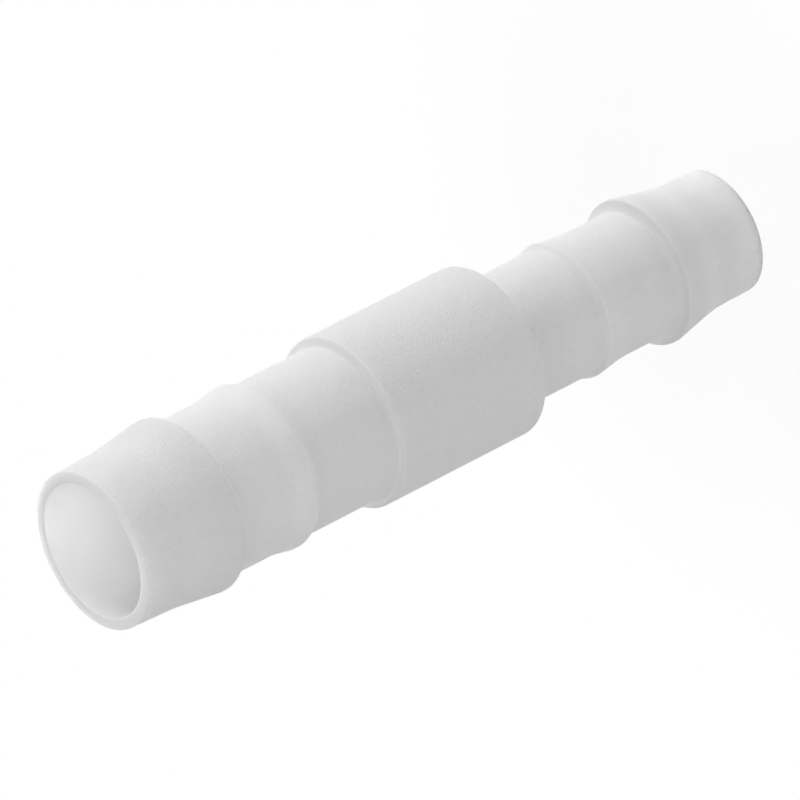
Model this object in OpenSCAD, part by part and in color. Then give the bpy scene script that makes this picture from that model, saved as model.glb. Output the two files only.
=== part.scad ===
// Straight hose reducer, moulded in one piece from natural white plastic.
// A large barbed tail, a plain collar and a small barbed tail share one axis, and
// the bore steps down by a cone inside the collar. The part stands on the end of
// its small tail, with +Z along the axis to the large mouth.
// Each tail is described from its tip: a slim nose, a main barb with a long ramp
// and a steep back, a neck, a lower second barb, and a root that runs to the collar.

/* [Large tail] */
// Length from the large end face to the collar
large_tail_l = 22.7; // [20:0.1:40]
// Diameter at the tip
large_tip_d = 11.7; // [11.4:0.1:12]
// Diameter where the nose meets the ramp of the main barb
large_nose_d = 12; // [11.6:0.1:12.6]
// Length of the nose
large_nose_l = 3.9; // [1:0.1:8]
// Crest diameter of the main barb
large_crest_d = 13; // [12.4:0.1:15]
// Length of the ramp up to the main crest
large_ramp_l = 3.9; // [2:0.1:8]
// Length of the land on the main crest
large_land_l = 0.4; // [0.2:0.1:3]
// Length of the back slope behind the main crest
large_back_l = 0.4; // [0.1:0.1:2]
// Neck diameter between the two barbs
large_neck_d = 11.7; // [11.2:0.1:12.2]
// Length of the neck between the two barbs
large_neck_l = 4.4; // [1:0.1:9]
// Crest diameter of the second barb
large_second_d = 12.3; // [12:0.1:13]
// Length of the ramp up to the second crest
large_second_ramp_l = 1.6; // [1:0.1:6]
// Length of the land on the second crest
large_second_land_l = 0.4; // [0.2:0.1:3]
// Length of the back slope behind the second crest
large_second_back_l = 0.6; // [0.3:0.1:3]
// Root diameter between the second barb and the collar
large_root_d = 11.5; // [11:0.1:12]

/* [Small tail] */
// Length from the small end face to the collar
small_tail_l = 22; // [20:0.1:40]
// Diameter at the tip
small_tip_d = 9.3; // [9.1:0.1:10]
// Diameter where the nose meets the ramp of the main barb
small_nose_d = 9.4; // [9.2:0.1:10.4]
// Length of the nose
small_nose_l = 3.5; // [1:0.1:8]
// Crest diameter of the main barb
small_crest_d = 11; // [10.5:0.1:13]
// Length of the ramp up to the main crest
small_ramp_l = 3.9; // [2:0.1:8]
// Length of the land on the main crest
small_land_l = 0.3; // [0.2:0.1:3]
// Length of the back slope behind the main crest
small_back_l = 0.4; // [0.1:0.1:2]
// Neck diameter between the two barbs
small_neck_d = 9.5; // [9.1:0.1:10]
// Length of the neck between the two barbs
small_neck_l = 4.3; // [1:0.1:9]
// Crest diameter of the second barb
small_second_d = 10.2; // [10:0.1:11]
// Length of the ramp up to the second crest
small_second_ramp_l = 2.2; // [1:0.1:6]
// Length of the land on the second crest
small_second_land_l = 0.2; // [0.2:0.1:3]
// Length of the back slope behind the second crest
small_second_back_l = 0.4; // [0.1:0.1:3]
// Root diameter between the second barb and the collar
small_root_d = 9.6; // [9.1:0.1:10]

/* [Collar] */
// Outside diameter of the collar
collar_d = 12.8; // [12.4:0.1:20]
// Length of the collar between the two tails
collar_l = 13.3; // [8:0.1:30]

/* [Bore] */
// Bore diameter of the large tail
large_bore_d = 10; // [8.2:0.1:10.4]
// Bore diameter of the small tail
small_bore_d = 7.8; // [4:0.1:8]
// Depth of the large bore past the large tail, inside the collar
bore_step_in = 4; // [0.5:0.5:5]
// Length of the cone that joins the two bores
bore_cone_l = 3; // [1:0.5:7]

/* [Rounding] */
// Outer rounding of both end faces
tip_round = 0.05; // [0.05:0.05:0.4]
// Inner rounding of both mouths
mouth_round = 0.1; // [0.05:0.05:0.2]
// Rounding of the barb crests
crest_round = 0.3; // [0.1:0.1:1]
// Rounding of the collar's edges
collar_round = 0.3; // [0.1:0.1:1]
// Fillet where a back slope or the collar meets the neck below it
root_fillet = 0.3; // [0.1:0.1:0.5]
// Long blend where a nose or neck runs into a ramp
ramp_blend = 12; // [1:1:15]
// Short blend at the foot of the large tail's second ramp, which shows as a line
line_blend = 0.5; // [0.5:0.5:15]

/* [Hidden] */

// Faces around the axis, and straight pieces in each rounding of the section
round_faces = 96;
arc_steps = 5;
// The most of a neighbouring edge that one rounding may use up
edge_share = 0.48;
// A corner flatter than this half angle stays as it is
flat_half_angle = 89.8;
// The most of a tail's length that its barbs may take up
barbs_share = 0.95;

natural_white = [0.93, 0.93, 0.92];

total_l = small_tail_l + collar_l + large_tail_l;
collar_top_z = small_tail_l + collar_l;
cone_top_z = collar_top_z - bore_step_in;
cone_bottom_z = cone_top_z - bore_cone_l;

// Diameters and lengths of each tail, in the order that tail_corners reads them
large_diameters = [large_tip_d, large_nose_d, large_crest_d, large_neck_d, large_second_d, large_root_d];
large_lengths = [
    large_nose_l, large_ramp_l, large_land_l, large_back_l,
    large_neck_l, large_second_ramp_l, large_second_land_l, large_second_back_l
];
small_diameters = [small_tip_d, small_nose_d, small_crest_d, small_neck_d, small_second_d, small_root_d];
small_lengths = [
    small_nose_l, small_ramp_l, small_land_l, small_back_l,
    small_neck_l, small_second_ramp_l, small_second_land_l, small_second_back_l
];

// Distance from the tip to the end of stretch n of a tail
function run(lengths, n) = n < 0 ? 0 : lengths[n] + run(lengths, n - 1);

// Stretches at their full length, or drawn together where the tail is too short for them
function fitted(lengths, tail_l) = lengths * min(1, barbs_share * tail_l / run(lengths, len(lengths) - 1));

// Corners of one tail as [diameter, distance from the tip, rounding], from tip to collar
function tail_corners(d, lengths, tail_l, second_blend) =
    let (l = fitted(lengths, tail_l))
    [
        [d[0], 0, tip_round],
        [d[1], run(l, 0), ramp_blend],
        [d[2], run(l, 1), crest_round],
        [d[2], run(l, 2), crest_round],
        [d[3], run(l, 3), root_fillet],
        [d[3], run(l, 4), second_blend],
        [d[4], run(l, 5), crest_round],
        [d[4], run(l, 6), crest_round],
        [d[5], run(l, 7), root_fillet],
        [d[5], tail_l, root_fillet]
    ];

// Corners as [radius, height, rounding]
function from_bottom(corners) = [for (c = corners) [c[0] / 2, c[1], c[2]]];
function from_top(corners) = [
    for (i = [len(corners) - 1 : -1 : 0]) [corners[i][0] / 2, total_l - corners[i][1], corners[i][2]]
];

// The wall's closed section: up the outside from the small tip, and down the bore
wall_corners = concat(
    from_bottom(tail_corners(small_diameters, small_lengths, small_tail_l, ramp_blend)),
    [[collar_d / 2, small_tail_l, collar_round], [collar_d / 2, collar_top_z, collar_round]],
    from_top(tail_corners(large_diameters, large_lengths, large_tail_l, line_blend)),
    [
        [large_bore_d / 2, total_l, mouth_round],
        [large_bore_d / 2, cone_top_z, 0],
        [small_bore_d / 2, cone_bottom_z, 0],
        [small_bore_d / 2, 0, mouth_round]
    ]
);

function place(corner) = [corner[0], corner[1]];
function unit(v) = v / norm(v);

// Arc that rounds corner b between a and c, cut short where an edge has no room for it
function corner_arc(a, b, c) =
    let (
        to_a = place(a) - place(b),
        to_c = place(c) - place(b),
        half = acos(unit(to_a) * unit(to_c)) / 2,
        room = edge_share * min(norm(to_a), norm(to_c)),
        reach = min(b[2] / tan(half), room),
        radius = reach * tan(half)
    )
    b[2] == 0 || half > flat_half_angle ? [place(b)] :
    let (
        centre = place(b) + unit(unit(to_a) + unit(to_c)) * radius / sin(half),
        first = place(b) + unit(to_a) * reach - centre,
        last = place(b) + unit(to_c) * reach - centre,
        start = atan2(first[1], first[0]),
        sweep = atan2(cross(first, last), first * last)
    )
    [for (i = [0 : arc_steps]) centre + radius * [
        cos(start + sweep * i / arc_steps), sin(start + sweep * i / arc_steps)
    ]];

// Outline with every corner rounded
function rounded(corners) =
    let (n = len(corners))
    [for (i = [0 : n - 1]) each corner_arc(corners[(i + n - 1) % n], corners[i], corners[(i + 1) % n])];

module reducer_body() {
    color(natural_white)
        rotate_extrude($fn = round_faces)
            polygon(rounded(wall_corners));
}

reducer_body();
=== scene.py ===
import math

import bpy
import numpy as np
from mathutils import Matrix, Vector


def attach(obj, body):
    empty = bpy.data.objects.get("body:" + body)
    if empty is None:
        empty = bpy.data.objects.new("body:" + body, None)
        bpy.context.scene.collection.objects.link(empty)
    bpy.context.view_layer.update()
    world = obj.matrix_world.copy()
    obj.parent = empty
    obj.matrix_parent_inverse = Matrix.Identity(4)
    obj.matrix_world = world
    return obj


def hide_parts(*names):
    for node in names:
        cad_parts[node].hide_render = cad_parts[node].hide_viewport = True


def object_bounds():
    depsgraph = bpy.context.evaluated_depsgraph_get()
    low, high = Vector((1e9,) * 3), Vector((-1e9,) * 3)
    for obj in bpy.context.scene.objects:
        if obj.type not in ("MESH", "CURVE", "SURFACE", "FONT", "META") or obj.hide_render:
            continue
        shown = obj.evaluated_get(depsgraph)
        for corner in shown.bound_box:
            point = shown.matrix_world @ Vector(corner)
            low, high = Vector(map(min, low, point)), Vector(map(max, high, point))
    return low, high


# A hose reducer moulded in one piece from natural white plastic. It stands on the end of its
# small tail, and the camera, rolled as the photo asks, looks down into its large mouth.
# Lengths are in metres.

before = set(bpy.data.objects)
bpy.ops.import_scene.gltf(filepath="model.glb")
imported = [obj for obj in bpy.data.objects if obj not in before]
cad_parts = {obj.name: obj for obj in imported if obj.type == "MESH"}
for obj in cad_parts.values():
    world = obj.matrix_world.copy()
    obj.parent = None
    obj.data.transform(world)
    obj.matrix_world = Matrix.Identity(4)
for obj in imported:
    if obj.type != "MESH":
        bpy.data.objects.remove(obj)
cad_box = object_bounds()

BODY = "root"
NODE = "reducer_body"
MM = 0.001

# The camera: a long lens a metre away, in a square picture of 800 pixels. The middle of the large
# mouth falls on MOUTH_PIXEL, and the axis leans AXIS_TILT out of the line of sight, towards the
# picture's lower left, AXIS_TURN below the level.
PICTURE = 800.0
CENTRE = PICTURE / 2
DISTANCE = 1.0
SENSOR_MM = 36.0
CLIP = (0.01, 10.0)
MOUTH_PIXEL = (92.1, 551.4)
PIXELS_PER_M = 14700.0
AXIS_TILT = math.radians(56.9)
AXIS_TURN = math.radians(27.08)

# The skin: how finely the section is turned into a mesh, and how near two points are the same
TURNS = 192
LONGEST_STEP = 0.35 * MM
SAME_POINT = 1e-7

# Where the plastic changes: the walls that count as thin and thick, the heights over which the bore, the
# small tip and the large mouth blend in, how far a face that gets painted shade looks up, the height of the
# mouth's ring, and how far a face of the bore looks inwards
THIN_WALL = 0.8 * MM
THICK_WALL = 1.5 * MM
BORE_CHANGE = (25.0 * MM, 35.0 * MM)
TIP_CHANGE = (0.5 * MM, 4.5 * MM)
MOUTH_CHANGE = (48.0 * MM, 56.0 * MM)
FACE_CHANGE = (0.3, 0.8)
RING_HEIGHT = 0.2 * MM
INWARD = 0.3

# How pale the plastic is, as a grey. Thick walls get a darker grey as painted shade, the bore gets a paler
# grey as painted light, and only a share of the grey stays at the mouth and on faces that look up, as
# painted shade
THIN_GREY = 0.88
THICK_SHADED_GREY = 0.77
BORE_LIT_GREY = 0.9
MOUTH_SHADE_SHARE = 0.92
UP_FACE_SHADE_SHARE = 0.88

# How deep light goes into the plastic, and what share of the light goes in
THIN_DEPTH = 2.5 * MM
THICK_DEPTH = 0.8 * MM
TIP_DEPTH = 0.8 * MM
BORE_DEPTH = 8.0 * MM
RING_DEPTH = 2.5 * MM
THIN_MILKY = 0.65
THICK_MILKY = 0.15
BORE_MILKY = 0.9
RING_MILKY = 0.8

# The gloss and the fine grain, which fades on faces that lean along the axis
ROUGHNESS = 0.6
SPECULAR = 0.2
PLASTIC_IOR = 1.48
GRAIN_SCALE = 6500.0
GRAIN_HEIGHT = 0.06 * MM
GRAIN_CHANGE = (0.15, 0.3)

# The floor and the world. Near the part, the share FLOOR_WHITE of the floor is seen as plain white
# and the rest shows the shadow. Over WHITE_CHANGE, measured from the axis, it turns all white.
FLOOR_HALF = 1.5
FLOOR_GREY = 0.93
FLOOR_WHITE = 0.9
WHITE_CHANGE = (10.0 * MM, 35.0 * MM)
WORLD_LIGHT = 0.01

# The lamps: how far off they are, and the name, azimuth, elevation, width and power of each,
# in degrees, metres and watts
LAMP_DISTANCE = 0.6
LAMPS = [
    ("back", 180, 8, 0.2, 1.95),
    ("back_side", 120, 8, 0.2, 0.5),
    ("side", 90, 8, 0.2, 1.7),
    ("side_front", 45, 12, 0.2, 0.15),
    ("front", 0, 45, 0.6, 1.24),
    ("above", 0, 85, 0.4, 1.1),
    ("fill", -90, 45, 0.6, 0.5),
    ("fill_front", -60, 12, 0.2, 0.4),
    ("fill_back", -120, 12, 0.2, 0.15),
]


def scene_link(obj):
    bpy.context.scene.collection.objects.link(obj)
    return obj


# Camera

def camera_axes():
    """The frame's X, Y and Z as the camera sees them: x to the right, y up, z towards the camera."""
    side = math.sin(AXIS_TILT)
    up = Vector((-side * math.cos(AXIS_TURN), -side * math.sin(AXIS_TURN), math.cos(AXIS_TILT)))
    towards = Vector((0, 0, 1))
    front = (towards - up * towards.dot(up)).normalized()
    back = -front
    return back.cross(up), back, up


def make_camera():
    x_axis, y_axis, z_axis = camera_axes()
    to_frame = Matrix((x_axis, y_axis, z_axis))
    mouth = Vector((0, 0, cad_box[1].z))
    seen = Vector((
        (MOUTH_PIXEL[0] - CENTRE) / PIXELS_PER_M,
        (CENTRE - MOUTH_PIXEL[1]) / PIXELS_PER_M,
        -DISTANCE,
    ))
    data = bpy.data.cameras.new("camera")
    data.sensor_width = SENSOR_MM
    data.lens = SENSOR_MM * PIXELS_PER_M * DISTANCE / PICTURE
    data.clip_start, data.clip_end = CLIP
    camera = scene_link(bpy.data.objects.new("camera", data))
    camera.matrix_world = Matrix.Translation(mouth - to_frame @ seen) @ to_frame.to_4x4()
    bpy.context.scene.camera = camera


# Skin

def section_of(node):
    """The solid's closed section at angle 0, as (radius, height) points in order."""
    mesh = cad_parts[node].data
    places = {}
    for v in mesh.vertices:
        if abs(v.co.y) < SAME_POINT and v.co.x > 0:
            places[v.index] = (round(v.co.x / SAME_POINT), round(v.co.z / SAME_POINT))
    beside = {}
    for e in mesh.edges:
        a, b = e.vertices
        if a in places and b in places and places[a] != places[b]:
            beside.setdefault(places[a], set()).add(places[b])
            beside.setdefault(places[b], set()).add(places[a])
    start = max(beside)
    chain = [start, min(beside[start])]
    while chain[-1] != start:
        chain.append(next(p for p in beside[chain[-1]] if p != chain[-2]))
    return [(r * SAME_POINT, z * SAME_POINT) for r, z in chain[:-1]]


def refined(section):
    """The section with its long straight stretches cut into short steps."""
    points = []
    for i, (r0, z0) in enumerate(section):
        r1, z1 = section[(i + 1) % len(section)]
        steps = max(1, math.ceil(math.hypot(r1 - r0, z1 - z0) / LONGEST_STEP))
        points += [(r0 + (r1 - r0) * k / steps, z0 + (z1 - z0) * k / steps) for k in range(steps)]
    return points


def turned_mesh(name, section):
    """The section turned about Z, as a closed mesh of four-sided faces that look outwards."""
    angles = np.arange(TURNS) * 2 * math.pi / TURNS
    r, z = np.array(section).T
    co = np.stack([
        np.outer(r, np.cos(angles)), np.outer(r, np.sin(angles)), np.repeat(z[:, None], TURNS, 1)
    ], axis=2).reshape(-1, 3)
    faces = []
    for i in range(len(section)):
        here = i * TURNS
        there = (i + 1) % len(section) * TURNS
        for k in range(TURNS):
            k1 = (k + 1) % TURNS
            faces.append((here + k, here + k1, there + k1, there + k))
    mesh = bpy.data.meshes.new(name)
    mesh.from_pydata(co.tolist(), [], faces)
    mesh.update()
    if signed_volume(mesh) < 0:
        mesh.flip_normals()
    mesh.polygons.foreach_set("use_smooth", [True] * len(mesh.polygons))
    return mesh


def signed_volume(mesh):
    return sum(p.center.dot(p.normal) * p.area for p in mesh.polygons) / 3


def make_skin():
    section = section_of(NODE)
    skin = scene_link(bpy.data.objects.new("reducer_skin", turned_mesh("reducer_skin", refined(section))))
    skin.data.materials.append(natural_plastic(section))
    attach(skin, BODY)
    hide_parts(NODE)


# Materials

def node_tree(name):
    material = bpy.data.materials.new(name)
    material.use_nodes = True
    tree = material.node_tree
    tree.nodes.clear()
    return material, tree.nodes, tree.links


class Sums:
    """Works out values in a node tree, one node for each step."""

    def __init__(self, nodes, links):
        self.nodes = nodes
        self.links = links

    def math(self, operation, *values):
        node = self.nodes.new("ShaderNodeMath")
        node.operation = operation
        for socket, value in zip(node.inputs, values):
            if isinstance(value, (int, float)):
                socket.default_value = value
            else:
                self.links.new(value, socket)
        return node.outputs[0]

    def step_up(self, value, change, low=0.0):
        """Rises smoothly from low to 1 while the value goes through the change."""
        node = self.nodes.new("ShaderNodeMapRange")
        node.interpolation_type = "SMOOTHSTEP"
        node.inputs["From Min"].default_value, node.inputs["From Max"].default_value = change
        node.inputs["To Min"].default_value = low
        self.links.new(value, node.inputs["Value"])
        return node.outputs[0]

    def step_down(self, value, change):
        return self.math("SUBTRACT", 1.0, self.step_up(value, change))

    def blend(self, amount, inside, outside):
        """The value inside where the amount is 1, and the one outside where it is 0."""
        return self.math(
            "ADD",
            self.math("MULTIPLY", self.math("SUBTRACT", 1.0, amount), outside),
            self.math("MULTIPLY", amount, inside),
        )

    def split(self, vector):
        node = self.nodes.new("ShaderNodeSeparateXYZ")
        self.links.new(vector, node.inputs[0])
        return node.outputs

    def level_dot(self, a, b):
        """Dot product of two split vectors, without their heights."""
        return self.math("ADD", self.math("MULTIPLY", a[0], b[0]), self.math("MULTIPLY", a[1], b[1]))


def places_on(sums, coordinates, section):
    """Where a point is on the part: each place as an amount from 0 to 1."""
    at = sums.split(coordinates.outputs["Object"])
    facing = sums.split(coordinates.outputs["Normal"])
    height = at[2]
    across = sums.math("SQRT", sums.level_dot(at, at))
    outward = sums.math("DIVIDE", sums.level_dot(facing, at), across)
    small_bore_r = min(r for r, z in section)
    large_bore_r = min(r for r, z in section if z > BORE_CHANGE[1])
    bore_r = sums.blend(sums.step_up(height, BORE_CHANGE), large_bore_r, small_bore_r)
    face = sums.step_up(facing[2], FACE_CHANGE)
    at_top = sums.math("GREATER_THAN", height, cad_box[1].z - RING_HEIGHT)
    return {
        "thick": sums.step_up(sums.math("SUBTRACT", across, bore_r), (THIN_WALL, THICK_WALL)),
        "tip": sums.step_down(height, TIP_CHANGE),
        "mouth": sums.step_up(height, MOUTH_CHANGE),
        "bore": sums.math("LESS_THAN", outward, -INWARD),
        "face": face,
        "ring": sums.math("MULTIPLY", face, at_top),
        "leaning": sums.step_up(sums.math("ABSOLUTE", facing[2]), GRAIN_CHANGE),
    }


def natural_plastic(section):
    """Milky plastic with painted shade and painted light: painted shade makes it darker where the wall is
    thick, at the mouth and on faces that look up, painted light makes it paler in the bore, and it is
    grained outside.
    """
    material, nodes, links = node_tree("moulded_plastic")
    sums = Sums(nodes, links)
    coordinates = nodes.new("ShaderNodeTexCoord")
    on = places_on(sums, coordinates, section)

    # Painted shade: thick walls get a darker grey, standing in for less light coming through them.
    grey = sums.blend(on["thick"], THICK_SHADED_GREY, THIN_GREY)
    # Painted shade: the grey gets darker towards the large mouth.
    grey = sums.math("MULTIPLY", grey, sums.blend(on["mouth"], MOUTH_SHADE_SHARE, 1.0))
    # Painted shade: faces that look up get a darker grey.
    grey = sums.math("MULTIPLY", grey, sums.blend(on["face"], UP_FACE_SHADE_SHARE, 1.0))
    # Painted light: the bore gets its own paler grey in place of the painted shade above.
    grey = sums.blend(on["bore"], BORE_LIT_GREY, grey)
    colour = nodes.new("ShaderNodeCombineColor")
    for socket in colour.inputs:
        links.new(grey, socket)

    depth = sums.blend(on["tip"], TIP_DEPTH, sums.blend(on["thick"], THICK_DEPTH, THIN_DEPTH))
    depth = sums.blend(on["ring"], RING_DEPTH, sums.blend(on["bore"], BORE_DEPTH, depth))
    milky = sums.blend(on["bore"], BORE_MILKY, sums.blend(on["thick"], THICK_MILKY, THIN_MILKY))
    milky = sums.blend(on["ring"], RING_MILKY, milky)

    plastic = nodes.new("ShaderNodeBsdfPrincipled")
    plastic.inputs["Roughness"].default_value = ROUGHNESS
    plastic.inputs["Specular IOR Level"].default_value = SPECULAR
    plastic.inputs["IOR"].default_value = PLASTIC_IOR
    plastic.inputs["Subsurface Radius"].default_value = (1.0, 1.0, 1.0)
    links.new(colour.outputs[0], plastic.inputs["Base Color"])
    links.new(depth, plastic.inputs["Subsurface Scale"])
    links.new(milky, plastic.inputs["Subsurface Weight"])

    smooth = sums.math("MAXIMUM", on["bore"], on["leaning"])
    bump = grain_bump(nodes, links, coordinates, sums.math("SUBTRACT", 1.0, smooth))
    links.new(bump.outputs["Normal"], plastic.inputs["Normal"])
    out = nodes.new("ShaderNodeOutputMaterial")
    links.new(plastic.outputs["BSDF"], out.inputs["Surface"])
    return material


def grain_bump(nodes, links, coordinates, strength):
    grain = nodes.new("ShaderNodeTexNoise")
    grain.inputs["Scale"].default_value = GRAIN_SCALE
    grain.inputs["Detail"].default_value = 0.0
    links.new(coordinates.outputs["Object"], grain.inputs["Vector"])
    bump = nodes.new("ShaderNodeBump")
    bump.inputs["Distance"].default_value = GRAIN_HEIGHT
    links.new(strength, bump.inputs["Strength"])
    links.new(grain.outputs["Fac"], bump.inputs["Height"])
    return bump


def seen_as_white(nodes, links, share, otherwise):
    """The camera and mirrored rays see that share as white, and it lights as the other shader does."""
    path = nodes.new("ShaderNodeLightPath")
    white = nodes.new("ShaderNodeEmission")
    mix = nodes.new("ShaderNodeMixShader")
    sums = Sums(nodes, links)
    mirrored = sums.math("MAXIMUM", path.outputs["Is Glossy Ray"], path.outputs["Is Transmission Ray"])
    direct = sums.math("MAXIMUM", path.outputs["Is Camera Ray"], mirrored)
    links.new(sums.math("MULTIPLY", direct, share), mix.inputs[0])
    links.new(otherwise.outputs[0], mix.inputs[1])
    links.new(white.outputs[0], mix.inputs[2])
    return mix


def floor_white():
    """A pale floor that shows the part's shadow near it, and is plain white to the camera further off."""
    material, nodes, links = node_tree("floor_white")
    plain = nodes.new("ShaderNodeBsdfDiffuse")
    plain.inputs["Color"].default_value = (FLOOR_GREY, FLOOR_GREY, FLOOR_GREY, 1)
    coordinates = nodes.new("ShaderNodeTexCoord")
    from_middle = nodes.new("ShaderNodeVectorMath")
    from_middle.operation = "LENGTH"
    links.new(coordinates.outputs["Object"], from_middle.inputs[0])
    share = Sums(nodes, links).step_up(from_middle.outputs["Value"], WHITE_CHANGE, low=FLOOR_WHITE)
    out = nodes.new("ShaderNodeOutputMaterial")
    links.new(seen_as_white(nodes, links, share, plain).outputs[0], out.inputs["Surface"])
    return material


# Stage

def make_floor():
    mesh = bpy.data.meshes.new("floor")
    corners = [(x * FLOOR_HALF, y * FLOOR_HALF, 0) for x, y in ((-1, -1), (1, -1), (1, 1), (-1, 1))]
    mesh.from_pydata(corners, [], [(0, 1, 2, 3)])
    floor = scene_link(bpy.data.objects.new("floor", mesh))
    mesh.materials.append(floor_white())


def soft_light(name, azimuth, elevation, size, power):
    """A square soft light that faces the object; azimuth 0 is on the side of -Y, 90 of +X."""
    a, e = math.radians(azimuth), math.radians(elevation)
    middle = Vector((0, 0, (cad_box[0].z + cad_box[1].z) / 2))
    away = Vector((math.sin(a) * math.cos(e), -math.cos(a) * math.cos(e), math.sin(e)))
    data = bpy.data.lights.new(name, "AREA")
    data.shape = "SQUARE"
    data.size = size
    data.energy = power
    light = scene_link(bpy.data.objects.new(name, data))
    light.location = middle + away * LAMP_DISTANCE
    light.rotation_euler = away.to_track_quat("Z", "Y").to_euler()


def make_world():
    world = bpy.data.worlds.new("world")
    bpy.context.scene.world = world
    world.use_nodes = True
    tree = world.node_tree
    back = tree.nodes["Background"]
    back.inputs["Color"].default_value = (1, 1, 1, 1)
    back.inputs["Strength"].default_value = WORLD_LIGHT
    mix = seen_as_white(tree.nodes, tree.links, 1.0, back)
    tree.links.new(mix.outputs[0], tree.nodes["World Output"].inputs["Surface"])


make_camera()
make_skin()
make_floor()
make_world()
for name, azimuth, elevation, size, power in LAMPS:
    soft_light(name, azimuth, elevation, size, power)

bpy.context.scene.view_settings.view_transform = "Standard"
